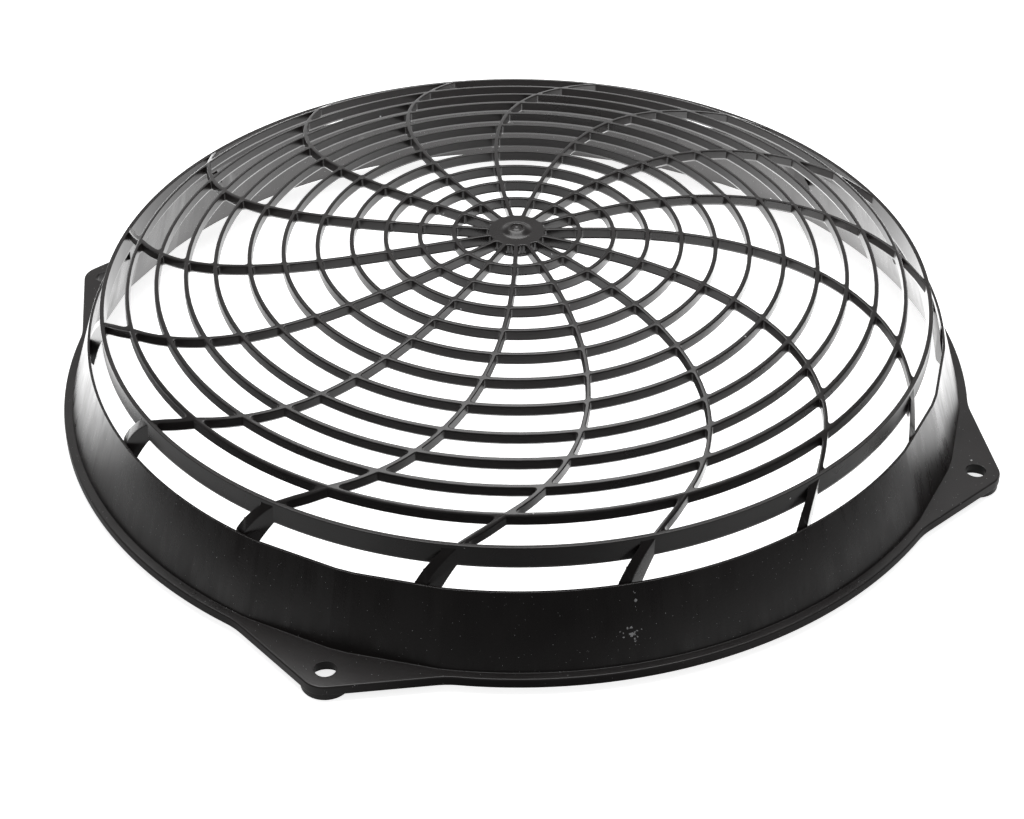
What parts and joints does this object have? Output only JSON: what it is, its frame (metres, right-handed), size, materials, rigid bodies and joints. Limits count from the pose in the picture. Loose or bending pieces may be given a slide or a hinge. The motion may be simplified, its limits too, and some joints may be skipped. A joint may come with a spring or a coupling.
{
  "type": "fan guard",
  "caption": "Round domed fan guard of thin rings and curved spokes, standing on a leaning skirt and a narrow flange with screw lugs.",
  "frame": {"origin": "the guard's axis, at the plane of the feet under the four lugs", "axes": "+Z along the axis, from the feet up through the dome; the four lugs lie on the diagonals of X and Y"},
  "size_m": [0.3422, 0.3422, 0.0701],
  "materials": {
    "black_plastic": "satin black moulded plastic"
  },
  "bodies": {
    "root": {"fan_guard": "black_plastic"}
  },
  "joints": []
}
